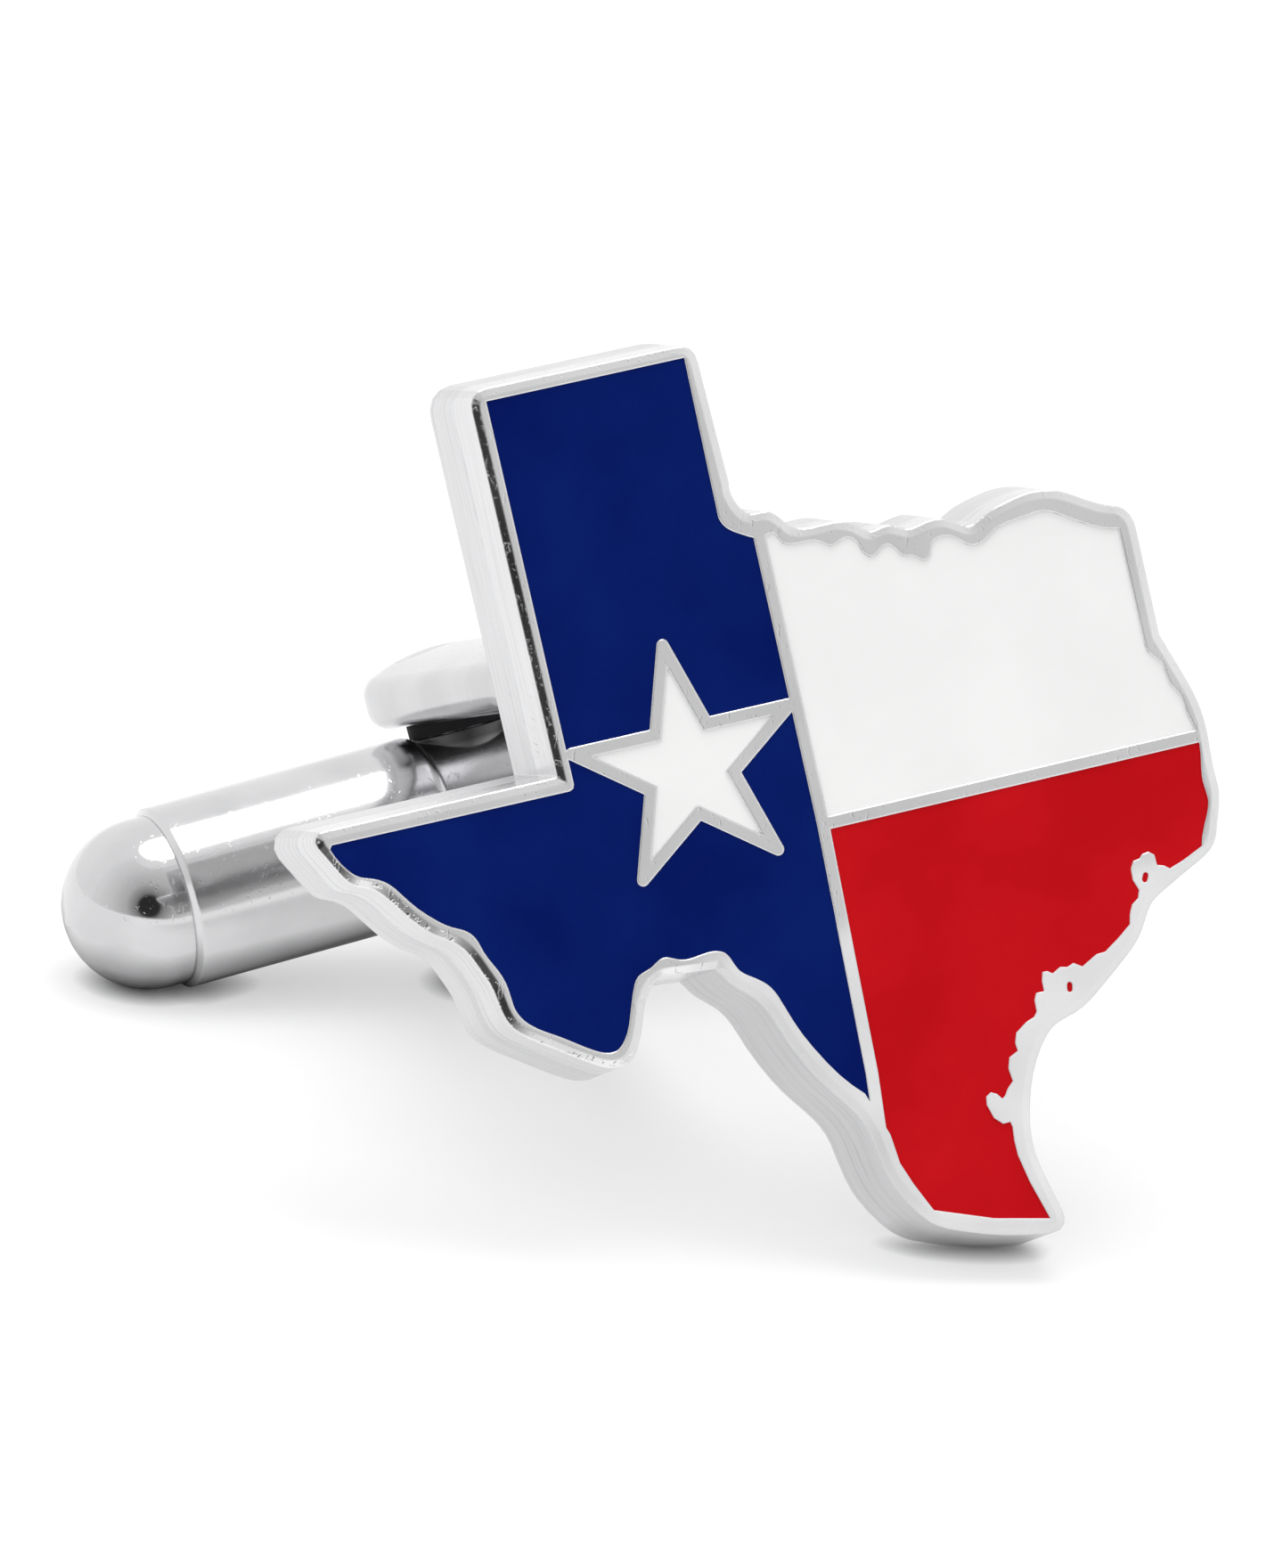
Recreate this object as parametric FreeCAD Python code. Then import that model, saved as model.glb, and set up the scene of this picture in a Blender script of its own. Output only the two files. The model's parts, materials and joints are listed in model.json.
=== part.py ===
"""Cufflink: an enamelled map-shaped face plate on a forked post with a swivelling bar.

All lengths are in millimetres.  The pieces are drawn in a bench frame: the plate stands upright and
faces -Y, X runs to the right along the plate, Z runs up it, and the middle of the star on the rim's
top surface is the origin.  At the end the whole cufflink is leaned back and rolled onto the table,
where it rests on the plate's lower tip, the lower arm of the fork and the left end of the bar.
"""
import FreeCAD
import Part
import math
import os

Vec = FreeCAD.Vector
X_AXIS = Vec(1, 0, 0)
Y_AXIS = Vec(0, 1, 0)
Z_AXIS = Vec(0, 0, 1)

# Face plate
FACE_WIDTH = 22.19        # across the map, from its left tip to its right edge
PLATE_THICKNESS = 2.8
WALL_DRAFT = 0.2          # the side wall spreads by this towards the back
SHOULDER_WIDTH = 0.2      # sloped outer edge of the rim
SHOULDER_DROP = 0.05
BACK_EASE = 0.25          # eased edge around the back
CELL_DEPTH = 0.6          # depth of the enamel cells
COLOUR_RECESS = 0.04      # blue and red lie just under the rim
WHITE_RECESS = 0.06       # white lies a little deeper
BAR_WIDTH = 0.3           # metal bars between the fields

# Star
STAR_RADIUS = 3.4         # centre to the sharp tip of the star's outer edge
STAR_WALL = 0.31
STAR_TIP_ROUND = 0.15
TIE_WIDTH = 0.2           # metal that joins the star's side tips to the rim and the bar

# Islets
ISLET_LENGTH = 0.24
ISLET_WIDTH = 0.14

# Swivelling bar
TUBE_DIAMETER = 4.41
TUBE_LENGTH = 7.0
TUBE_INNER_ROUND = 0.3    # rounded inner end of each tube
TUBE_OUTER_BEVEL = 0.13   # bevelled lip beside the cap
BORE_SHARE = 0.46         # of the tube's diameter
WAIST_STEP = 0.2          # the hub between the two tubes is lower than they are by this
WAIST_LENGTH = 2.5
HUB_SPIGOT_LENGTH = 2.2
CAP_STEP = 0.15           # the caps are lower than the tubes by this
CAP_COLLAR = 0.4          # straight part before the dome
CAP_SPIGOT_LENGTH = 0.6

# Brake inside the bar
PLUNGER_SHARE = 0.5       # of the bore
PLUNGER_HEAD_LENGTH = 0.5
PLUNGER_HEAD_GAP = 0.15   # head to the end of the hub
BRAKE_CLEARANCE = 0.1     # plunger head and spring to the bore
SPRING_WIRE = 0.25
SPRING_TURNS = 4

# Fork, pin and washers
ARM_THICKNESS = 1.65      # of each arm at its middle
ARM_WIDTH = 4.0           # across the milled flats
ARM_EASE = 0.5            # eased edges
ARM_CLEARANCE = 0.25      # tube to arm
TIP_CLEARANCE = 0.7       # cap to the bottom of the fork when the bar is in line
STEM_DIAMETER = 3.4
STEM_LENGTH = 1.645
SOLDER_FLARE = 0.25
PIN_DIAMETER = 1.5
PIN_HEAD_STEP = 0.4       # countersunk heads, filed flush with the arms, are wider by this
PIN_HEAD_DEPTH = 0.6
SEAT_WIDTH = 0.45         # of the washers and of the raised seats on the hub, around the pin
WASHER_THICKNESS = 0.36

# Fits, as clearance on the radius or on one side
SEAT_FIT = 0.01           # pressed or soldered pieces
RUNNING_FIT = 0.03        # turning pieces

# How the post sits on the plate
POST = (0.45, -0.43)      # the pin's place in the map drawing
POST_TURN = 2.4           # degrees, the post is soldered on a little turned

# How it lies on the table
STEEPEST = 45.0           # degrees, the most that the plate could lean back or roll
HALVINGS = 18             # steps of the search for the lean and of that for the roll
SEARCH_MESH = 0.01        # fineness of the meshes in that search

# Worked out from the sizes above
TUBE_BORE = BORE_SHARE * TUBE_DIAMETER
WAIST_DIAMETER = TUBE_DIAMETER - 2 * WAIST_STEP
CAP_DIAMETER = TUBE_DIAMETER - 2 * CAP_STEP
SPIGOT_DIAMETER = TUBE_BORE - 2 * SEAT_FIT
PLUNGER_DIAMETER = PLUNGER_SHARE * TUBE_BORE
PLUNGER_HEAD_DIAMETER = TUBE_BORE - 2 * BRAKE_CLEARANCE
SPRING_DIAMETER = TUBE_BORE - 2 * BRAKE_CLEARANCE
PIN_HEAD_DIAMETER = PIN_DIAMETER + 2 * PIN_HEAD_STEP
WASHER_DIAMETER = PIN_DIAMETER + 2 * SEAT_WIDTH
SLOT_HALF = TUBE_DIAMETER / 2 + ARM_CLEARANCE
ARM_OUTER = SLOT_HALF + ARM_THICKNESS
TUBE_START = WAIST_LENGTH / 2
TUBE_END = TUBE_START + TUBE_LENGTH
HALF_BAR = TUBE_END + CAP_COLLAR + CAP_DIAMETER / 2
SLOT_DEPTH = HALF_BAR + TIP_CLEARANCE
PIN_Y = PLATE_THICKNESS + STEM_LENGTH + ARM_THICKNESS + SLOT_DEPTH
SEAT_TOP = SLOT_HALF - WASHER_THICKNESS - 2 * RUNNING_FIT

# The map drawing.  Each stretch starts where the one before it ends: a run is straight from point to
# point, a bank is a smooth curve through its points.  X to the right, Z up, from the star's middle.
OUTLINE = [
    ("run", [(-3.24, 0.45), (-3.36, 9.22), (-3.34, 9.42), (-3.26, 9.58), (-3.11, 9.69), (-2.9, 9.73),
             (1.9, 9.69), (2.1, 9.66), (2.25, 9.57), (2.34, 9.42), (2.37, 9.22), (2.48, 6.3)]),
    ("bank", [(2.48, 6.3), (2.57, 5.75), (2.85, 5.47), (3.2, 5.46), (3.5, 5.26), (3.75, 4.98),
              (4.2, 4.85), (5.0, 4.83), (5.35, 4.66), (5.64, 4.46), (6.1, 4.5), (6.52, 4.32),
              (7.0, 4.37), (7.55, 4.34), (8.11, 4.06), (8.5, 4.22), (9.1, 4.42), (9.8, 4.52),
              (10.42, 4.4), (11.15, 4.0), (11.75, 3.76)]),
    ("run", [(11.75, 3.76), (11.93, 3.65), (12.05, 3.48), (12.12, 3.27), (12.13, 3.05), (12.13, 0.55)]),
    ("bank", [(12.13, 0.55), (12.27, 0.18), (12.48, -0.42), (12.64, -0.9), (12.77, -1.6),
              (12.77, -2.15), (12.74, -2.8), (12.75, -3.35), (12.57, -4.0), (12.33, -4.54),
              (11.6, -4.98), (11.0, -5.28), (10.52, -5.56), (10.12, -6.15), (9.45, -6.78),
              (8.82, -7.25), (8.12, -7.66), (7.5, -7.86), (7.06, -8.28), (6.7, -8.9),
              (6.45, -9.65), (6.34, -10.5), (6.5, -11.4), (6.7, -12.15)]),
    ("run", [(6.7, -12.15), (6.72, -12.32), (6.67, -12.47), (6.55, -12.58), (6.3, -12.62)]),
    ("bank", [(6.3, -12.62), (5.0, -12.37), (4.2, -12.11), (3.55, -11.8), (3.1, -11.3), (2.72, -10.6),
              (2.54, -9.85), (2.4, -9.2), (2.1, -8.65), (1.6, -8.0), (1.18, -7.3), (0.87, -6.62),
              (0.62, -6.0), (0.38, -5.66), (0.02, -5.34), (-0.24, -5.03)]),
    ("run", [(-0.24, -5.03), (-0.42, -4.78), (-1.55, -4.68)]),
    ("bank", [(-1.55, -4.68), (-2.0, -4.8), (-2.25, -5.08), (-2.5, -5.7), (-2.75, -6.2), (-3.0, -6.45),
              (-3.3, -6.52), (-3.9, -6.3), (-4.6, -5.85), (-5.25, -5.42), (-5.65, -5.05), (-5.82, -4.6),
              (-5.92, -4.05), (-6.1, -3.6), (-6.33, -3.12), (-6.58, -2.84), (-6.95, -2.6),
              (-7.35, -2.25), (-7.75, -1.75), (-8.12, -1.3), (-8.38, -1.12), (-8.72, -0.97),
              (-9.0, -0.62), (-9.27, -0.15)]),
    ("run", [(-9.27, -0.15), (-9.38, 0.04), (-9.42, 0.2), (-9.37, 0.34), (-9.24, 0.42), (-9.05, 0.43),
             (-3.24, 0.45)]),
]

SHORE = [
    ("run", [(-3.02, 0.06), (-2.92, 0.1), (-2.88, 0.2), (-2.97, 9.42), (2.05, 9.4), (2.03, 5.55)]),
    ("bank", [(2.03, 5.55), (2.17, 5.28), (2.56, 5.02), (2.95, 4.88), (3.3, 4.9), (3.44, 4.67),
              (3.67, 4.56), (4.35, 4.48), (4.63, 4.32), (5.0, 4.43), (5.25, 4.3), (5.37, 4.0),
              (5.55, 3.86), (5.95, 4.06), (6.14, 3.95), (6.33, 3.71), (6.55, 3.66), (6.8, 3.5),
              (6.98, 3.6), (7.08, 3.85), (7.6, 3.9), (8.0, 3.61), (8.25, 3.6), (8.67, 3.83),
              (9.4, 3.98), (10.0, 4.0), (10.45, 3.78), (11.1, 3.4), (11.7, 3.22)]),
    ("run", [(11.7, 3.22), (11.72, 0.45)]),
    ("bank", [(11.72, 0.45), (11.8, 0.17), (12.02, -0.08), (12.14, -0.65), (12.31, -0.93),
              (12.37, -1.33), (12.48, -1.75), (12.51, -2.25), (12.44, -2.67), (12.4, -3.06),
              (12.43, -3.5), (12.28, -3.9), (12.03, -4.52)]),
    ("run", [(12.03, -4.52), (11.5, -4.75), (11.13, -4.87), (11.0, -4.77), (10.83, -4.72), (10.82, -4.47),
             (10.69, -4.37), (10.53, -4.39), (10.44, -4.48), (10.28, -4.5), (10.18, -4.67), (10.17, -4.94),
             (10.27, -5.2), (10.2, -5.38), (10.02, -5.5), (9.92, -5.7), (9.86, -5.94), (9.5, -6.2),
             (9.11, -6.44), (8.89, -6.45), (8.48, -6.66), (8.28, -6.53), (8.11, -6.59), (7.94, -6.55),
             (7.72, -6.66), (7.6, -6.58), (7.48, -6.57), (7.42, -6.78), (7.42, -7.02), (7.22, -7.02),
             (7.14, -7.17), (7.13, -7.45), (7.04, -7.56), (6.83, -7.63), (6.52, -7.83), (6.44, -8.06),
             (6.46, -8.25), (6.22, -8.36), (6.14, -8.61), (6.18, -8.92), (6.02, -9.06), (5.91, -9.22),
             (5.83, -9.27), (5.72, -9.13), (5.58, -9.06), (5.45, -9.14), (5.42, -9.33), (5.53, -9.67),
             (5.72, -9.85), (5.9, -9.84), (5.93, -9.97), (5.9, -10.3), (5.91, -10.65), (6.06, -11.33),
             (6.36, -12.27), (5.0, -11.97), (3.57, -11.46), (3.22, -10.75), (3.0, -10.2), (2.92, -9.5),
             (2.52, -8.42)]),
    ("bank", [(2.52, -8.42), (2.0, -7.85), (1.56, -7.17), (1.22, -6.5), (0.98, -5.84), (0.8, -5.48),
              (0.44, -5.17), (0.12, -4.91), (-0.13, -4.45), (-0.36, -4.36), (-1.25, -4.37),
              (-1.64, -4.24), (-2.0, -4.41), (-2.33, -4.53), (-2.52, -4.8), (-2.72, -5.33),
              (-2.94, -5.83), (-3.25, -6.12), (-3.94, -5.91), (-4.56, -5.5), (-5.28, -5.0),
              (-5.46, -4.72), (-5.56, -4.05), (-5.72, -3.61), (-5.94, -3.17), (-6.07, -2.8),
              (-6.25, -2.6), (-6.56, -2.44), (-7.0, -2.12), (-7.44, -1.66), (-7.95, -1.05),
              (-8.2, -0.92), (-8.55, -0.79), (-8.8, -0.56), (-9.1, -0.02)]),
    ("run", [(-9.1, -0.02), (-9.04, 0.07), (-3.02, 0.06)]),
]

UPRIGHT_BAR = [(2.92, 5.6), (2.94, -2.0), (2.8, -8.0), (2.68, -9.6)]
LEVEL_BAR = [(2.94, -2.02), (12.9, -1.97)]
ISLETS = [((10.48, -4.94), 65), ((8.06, -7.06), 80)]

SIDEWAYS = [x for _, stretch in OUTLINE for x, _ in stretch]
MAP_UNIT = FACE_WIDTH / (max(SIDEWAYS) - min(SIDEWAYS))


def at(point, depth):
    """A point of the map drawing at a depth behind the rim's top."""
    return Vec(point[0] * MAP_UNIT, depth, point[1] * MAP_UNIT)


def corner_points(stretches):
    """All points of a closed outline, each joint once."""
    points = []
    for _, stretch in stretches:
        points += stretch[:-1]
    return points


def moved_inwards(stretches, distance):
    """The outline with every point moved inwards, square to the edges on its two sides."""
    points = corner_points(stretches)
    count = len(points)
    moved = []
    for i, (x, z) in enumerate(points):
        before = points[i - 1]
        after = points[(i + 1) % count]
        along_in = Vec(x - before[0], z - before[1], 0).normalize()
        along_out = Vec(after[0] - x, after[1] - z, 0).normalize()
        inward_in = Vec(along_in.y, -along_in.x, 0)
        inward_out = Vec(along_out.y, -along_out.x, 0)
        both = inward_in + inward_out
        step = both * (2 * distance / MAP_UNIT / both.dot(both))
        moved.append((x + step.x, z + step.y))
    result = []
    start = 0
    for kind, stretch in stretches:
        length = len(stretch)
        result.append((kind, [moved[(start + k) % count] for k in range(length)]))
        start += length - 1
    return result


def outline_wire(stretches, depth):
    """A closed wire of straight runs and smooth banks at a depth behind the rim's top."""
    edges = []
    for kind, stretch in stretches:
        points = [at(p, depth) for p in stretch]
        if kind == "run":
            edges += [Part.makeLine(a, b) for a, b in zip(points, points[1:])]
        else:
            curve = Part.BSplineCurve()
            curve.interpolate(points)
            edges.append(curve.toShape())
    return Part.Wire(edges)


def prism(points, depth):
    """A straight-sided block on a polygon of the drawing, from the rim's top down to a depth."""
    corners = [at(p, 0) for p in points]
    face = Part.Face(Part.makePolygon(corners + corners[:1]))
    return face.extrude(Y_AXIS * depth)


def strip(line, width, depth):
    """A block of even width along a line of the drawing."""
    half = width / MAP_UNIT / 2
    left = []
    right = []
    for i, (x, z) in enumerate(line):
        before = line[max(i - 1, 0)]
        after = line[min(i + 1, len(line) - 1)]
        along = Vec(after[0] - before[0], after[1] - before[1], 0).normalize()
        left.append((x - along.y * half, z + along.x * half))
        right.append((x + along.y * half, z - along.x * half))
    return prism(left + right[::-1], depth)


def star_points(radius):
    """Ten corners of a regular five-pointed star, the first one straight up."""
    notch = radius * math.sin(math.radians(18)) / math.sin(math.radians(126))
    points = []
    for k in range(10):
        reach = (notch if k % 2 else radius) / MAP_UNIT
        turn = math.radians(90 - 36 * k)
        points.append((reach * math.cos(turn), reach * math.sin(turn)))
    return points


def star_block(depth):
    """The star's outer form, with rounded tips."""
    block = prism(star_points(STAR_RADIUS), depth)
    near_tip = STAR_RADIUS * math.cos(math.radians(18))
    tips = []
    for edge in block.Edges:
        middle = edge.CenterOfMass
        upright = abs(edge.tangentAt(edge.FirstParameter).y) > 0.5
        if upright and math.hypot(middle.x, middle.z) > near_tip:
            tips.append(edge)
    return block.makeFillet(STAR_TIP_ROUND, tips)


def tie_strip(depth):
    """Metal through the star's two side tips, from the rim to the upright bar."""
    tip_centre = STAR_RADIUS - STAR_TIP_ROUND / math.sin(math.radians(18))
    height = tip_centre * math.sin(math.radians(18)) / MAP_UNIT
    return strip([(OUTLINE[0][1][0][0], height), (UPRIGHT_BAR[0][0], height)], TIE_WIDTH, depth)


def islet_block(place, turn, depth):
    """A small slot-shaped spot in the rim."""
    straight = (ISLET_LENGTH - ISLET_WIDTH) / 2
    middle = at(place, 0)
    block = Part.makeBox(2 * straight, depth, ISLET_WIDTH, Vec(-straight, 0, -ISLET_WIDTH / 2))
    for side in (-straight, straight):
        end = Part.makeCylinder(ISLET_WIDTH / 2, depth, Vec(side, 0, 0), Y_AXIS)
        block = block.fuse(end)
    block = block.removeSplitter()
    block.rotate(Vec(0, 0, 0), Y_AXIS, -turn)
    block.translate(middle)
    return block


def cell_blocks():
    """The enamel cells as blocks from the rim's top to the cell floor, by name."""
    field = Part.Face(outline_wire(SHORE, 0)).extrude(Y_AXIS * CELL_DEPTH)
    for metal in (strip(UPRIGHT_BAR, BAR_WIDTH, CELL_DEPTH), strip(LEVEL_BAR, BAR_WIDTH, CELL_DEPTH),
                  star_block(CELL_DEPTH), tie_strip(CELL_DEPTH)):
        field = field.cut(metal)
    bar_x = UPRIGHT_BAR[1][0] * MAP_UNIT
    level_z = LEVEL_BAR[0][1] * MAP_UNIT
    cells = {}
    for solid in sorted(field.Solids, key=lambda s: s.Volume)[-4:]:
        centre = solid.CenterOfMass
        if centre.x > bar_x:
            name = "white_enamel_field" if centre.z > level_z else "red_enamel_field"
        else:
            name = "blue_enamel_upper" if centre.z > 0 else "blue_enamel_lower"
        cells[name] = solid
    inner_radius = STAR_RADIUS - STAR_WALL / math.sin(math.radians(18))
    cells["white_enamel_star"] = prism(star_points(inner_radius), CELL_DEPTH)
    spots = [islet_block(place, turn, CELL_DEPTH) for place, turn in ISLETS]
    cells["red_enamel_islets"] = Part.makeCompound(spots)
    return cells


def enamel(name, cell):
    """The enamel in a cell: the cell without the layer that stays empty at its top."""
    recess = WHITE_RECESS if name.startswith("white") else COLOUR_RECESS
    box = cell.BoundBox
    layer = Part.makeBox(box.XLength, recess, box.ZLength, Vec(box.XMin, 0, box.ZMin))
    solids = [solid.cut(layer) for solid in cell.Solids]
    return solids[0] if len(solids) == 1 else Part.makeCompound(solids)


def face_plate(cells):
    """The struck plate: eased back edge, drafted wall, sloped rim shoulder and sunk cells."""
    sections = [
        outline_wire(moved_inwards(OUTLINE, BACK_EASE - WALL_DRAFT), PLATE_THICKNESS),
        outline_wire(moved_inwards(OUTLINE, -WALL_DRAFT), PLATE_THICKNESS - BACK_EASE),
        outline_wire(OUTLINE, SHOULDER_DROP),
        outline_wire(moved_inwards(OUTLINE, SHOULDER_WIDTH), 0),
    ]
    plate = Part.makeLoft(sections, True, True)
    for cell in cells.values():
        plate = plate.cut(cell)
    return plate


def rod(diameter, start, end, axis):
    """A round bar on an axis through the bench origin, from start to end."""
    return Part.makeCylinder(diameter / 2, end - start, axis * start, axis)


def swivel_fork():
    """A round-ended bar milled flat on two sides and slotted, on a stem; the pin's axis is Z at the origin."""
    slot_centre = -SLOT_DEPTH + SLOT_HALF
    bottom = slot_centre - ARM_OUTER
    slant = ARM_OUTER * math.sqrt(0.5)
    ends = [Vec(0, bottom, 0), Vec(ARM_OUTER, slot_centre, 0), Vec(ARM_OUTER, 0, 0), Vec(0, ARM_OUTER, 0)]
    half_section = Part.Wire([
        Part.Arc(ends[0], Vec(slant, slot_centre - slant, 0), ends[1]).toShape(),
        Part.makeLine(ends[1], ends[2]),
        Part.Arc(ends[2], Vec(slant, slant, 0), ends[3]).toShape(),
        Part.makeLine(ends[3], ends[0]),
    ])
    bar = Part.Face(half_section).revolve(Vec(0, 0, 0), Y_AXIS, 360)
    half_width = ARM_WIDTH / 2
    plan = Part.makeBox(ARM_WIDTH, -bottom, 2 * ARM_OUTER, Vec(-half_width, bottom, -ARM_OUTER))
    round_end = Part.makeCylinder(half_width, 2 * ARM_OUTER, Vec(0, 0, -ARM_OUTER), Z_AXIS)
    plan = plan.fuse(round_end).removeSplitter()
    slot = Part.makeBox(ARM_WIDTH, half_width - slot_centre, 2 * SLOT_HALF,
                        Vec(-half_width, slot_centre, -SLOT_HALF))
    bend = Part.makeCylinder(SLOT_HALF, ARM_WIDTH, Vec(-half_width, slot_centre, 0), X_AXIS)
    fork = bar.common(plan).cut(slot.fuse(bend).removeSplitter()).removeSplitter()
    fork = fork.makeFillet(ARM_EASE, [edge for edge in fork.Edges if is_long_edge(edge)])
    foot = -SLOT_DEPTH - ARM_THICKNESS - STEM_LENGTH
    stem = rod(STEM_DIAMETER, foot, -SLOT_DEPTH - ARM_THICKNESS / 2, Y_AXIS)
    return fork.fuse(stem).cut(pin_form(SEAT_FIT)).removeSplitter()


def is_long_edge(edge):
    """True for an edge around a flat or a round end of the fork's arms."""
    if edge.Length < SEAT_FIT:
        return False
    box = edge.BoundBox
    level = box.ZLength < SEAT_FIT
    on_flat = box.XLength < SEAT_FIT
    return level or on_flat


def pin_form(allowance):
    """The pin with its countersunk heads, larger all round by an allowance."""
    form = rod(PIN_DIAMETER + 2 * allowance, -ARM_OUTER, ARM_OUTER, Z_AXIS)
    shank = PIN_DIAMETER / 2 + allowance
    head = PIN_HEAD_DIAMETER / 2 + allowance
    for side in (1, -1):
        foot = Z_AXIS * (side * (ARM_OUTER - PIN_HEAD_DEPTH))
        form = form.fuse(Part.makeCone(shank, head, PIN_HEAD_DEPTH, foot, Z_AXIS * side))
    return form.removeSplitter()


def solder_ring():
    """A small cone of solder around the stem where it meets the plate."""
    base = -SLOT_DEPTH - ARM_THICKNESS - STEM_LENGTH
    inner = STEM_DIAMETER / 2 + SEAT_FIT
    cone = Part.makeCone(inner + SOLDER_FLARE, inner, SOLDER_FLARE, Vec(0, base, 0), Y_AXIS)
    return cone.cut(rod(2 * inner, base, base + SOLDER_FLARE, Y_AXIS))


def pivot_pin():
    """Round pin, its heads filed to the round of the arms."""
    return pin_form(0).common(Part.makeSphere(ARM_OUTER))


def pivot_washers():
    """Two washers, one on each side of the hub."""
    bottom = SLOT_HALF - RUNNING_FIT - WASHER_THICKNESS
    washers = []
    for side in (1, -1):
        ring = rod(WASHER_DIAMETER, bottom, bottom + WASHER_THICKNESS, Z_AXIS * side)
        hole = rod(PIN_DIAMETER + 2 * RUNNING_FIT, bottom, bottom + WASHER_THICKNESS, Z_AXIS * side)
        washers.append(ring.cut(hole))
    return Part.makeCompound(washers)


def toggle_hub():
    """Middle of the bar: waist, pin seats and a spigot for each tube, bored for pin and plungers."""
    end = TUBE_START + HUB_SPIGOT_LENGTH
    hub = rod(WAIST_DIAMETER, -TUBE_START, TUBE_START, X_AXIS)
    hub = hub.fuse(rod(SPIGOT_DIAMETER, -end, end, X_AXIS))
    hub = hub.fuse(rod(WASHER_DIAMETER, -SEAT_TOP, SEAT_TOP, Z_AXIS))
    hub = hub.cut(rod(PLUNGER_DIAMETER + 2 * RUNNING_FIT, -end, end, X_AXIS))
    hub = hub.cut(rod(PIN_DIAMETER + 2 * RUNNING_FIT, -SEAT_TOP, SEAT_TOP, Z_AXIS))
    return hub.removeSplitter()


def rim_edges(shape, x, diameter):
    """The round edges of a shape at one place on the bar's axis and of one diameter."""
    found = []
    for edge in shape.Edges:
        if isinstance(edge.Curve, Part.Circle):
            here = abs(edge.CenterOfMass.x - x) < SEAT_FIT
            if here and abs(edge.Curve.Radius - diameter / 2) < SEAT_FIT / 2:
                found.append(edge)
    return found


def toggle_tube():
    """Right half of the bar, with a rounded inner end and a bevelled lip at the cap."""
    tube = rod(TUBE_DIAMETER, TUBE_START, TUBE_END, X_AXIS)
    tube = tube.cut(rod(TUBE_BORE, TUBE_START, TUBE_END, X_AXIS))
    tube = tube.makeFillet(TUBE_INNER_ROUND, rim_edges(tube, TUBE_START, TUBE_DIAMETER))
    return tube.makeChamfer(TUBE_OUTER_BEVEL, rim_edges(tube, TUBE_END, TUBE_DIAMETER))


def end_cap():
    """Domed plug for the right tube, turned about the bar's axis."""
    radius = CAP_DIAMETER / 2
    spigot = SPIGOT_DIAMETER / 2
    collar_end = TUBE_END + CAP_COLLAR
    slant = radius * math.sqrt(0.5)
    corners = [Vec(HALF_BAR, 0, 0), Vec(TUBE_END - CAP_SPIGOT_LENGTH, 0, 0),
               Vec(TUBE_END - CAP_SPIGOT_LENGTH, spigot, 0), Vec(TUBE_END, spigot, 0),
               Vec(TUBE_END, radius, 0), Vec(collar_end, radius, 0)]
    edges = [Part.makeLine(a, b) for a, b in zip(corners, corners[1:])]
    edges.append(Part.Arc(corners[-1], Vec(collar_end + slant, slant, 0), corners[0]).toShape())
    return Part.Face(Part.Wire(edges)).revolve(Vec(0, 0, 0), X_AXIS, 360)


def plunger_head_start():
    """Where the plunger's head begins on the bar's axis."""
    return TUBE_START + HUB_SPIGOT_LENGTH + PLUNGER_HEAD_GAP


def brake_plunger():
    """Right plunger: a rod through the hub with a cupped tip against the pin and a flat head."""
    head_start = plunger_head_start()
    plunger = rod(PLUNGER_DIAMETER, 0, head_start, X_AXIS)
    plunger = plunger.fuse(rod(PLUNGER_HEAD_DIAMETER, head_start, head_start + PLUNGER_HEAD_LENGTH, X_AXIS))
    cup = rod(PIN_DIAMETER + 2 * RUNNING_FIT, -PLUNGER_DIAMETER, PLUNGER_DIAMETER, Z_AXIS)
    return plunger.cut(cup).removeSplitter()


def helix_point(turns, radius, start, pitch):
    """A point on the spring's wire line and the direction of the wire there."""
    angle = 2 * math.pi * turns
    place = Vec(start + pitch * turns, radius * math.cos(angle), radius * math.sin(angle))
    rise = pitch / (2 * math.pi)
    along = Vec(rise, -radius * math.sin(angle), radius * math.cos(angle)).normalize()
    return place, along


def biarc(start, end):
    """Two arcs that leave the start and reach the end along the given directions."""
    (a, along_a), (b, along_b) = start, end
    chord = b - a
    both = along_a + along_b
    square = 2 * (1 - along_a.dot(along_b))
    lead = chord.dot(both)
    reach = (math.sqrt(lead * lead + square * chord.dot(chord)) - lead) / square
    corner_a = a + along_a * reach
    corner_b = b - along_b * reach
    joint = (corner_a + corner_b) * 0.5
    arcs = []
    for first, corner, last in ((a, corner_a, joint), (joint, corner_b, b)):
        middle = (first + last) * 0.5
        to_corner = corner - middle
        half_chord = (last - first).Length / 2
        rise = half_chord * (math.hypot(half_chord, to_corner.Length) - half_chord) / to_corner.Length
        arcs.append(Part.Arc(first, middle + to_corner.normalize() * rise, last).toShape())
    return arcs


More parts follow.
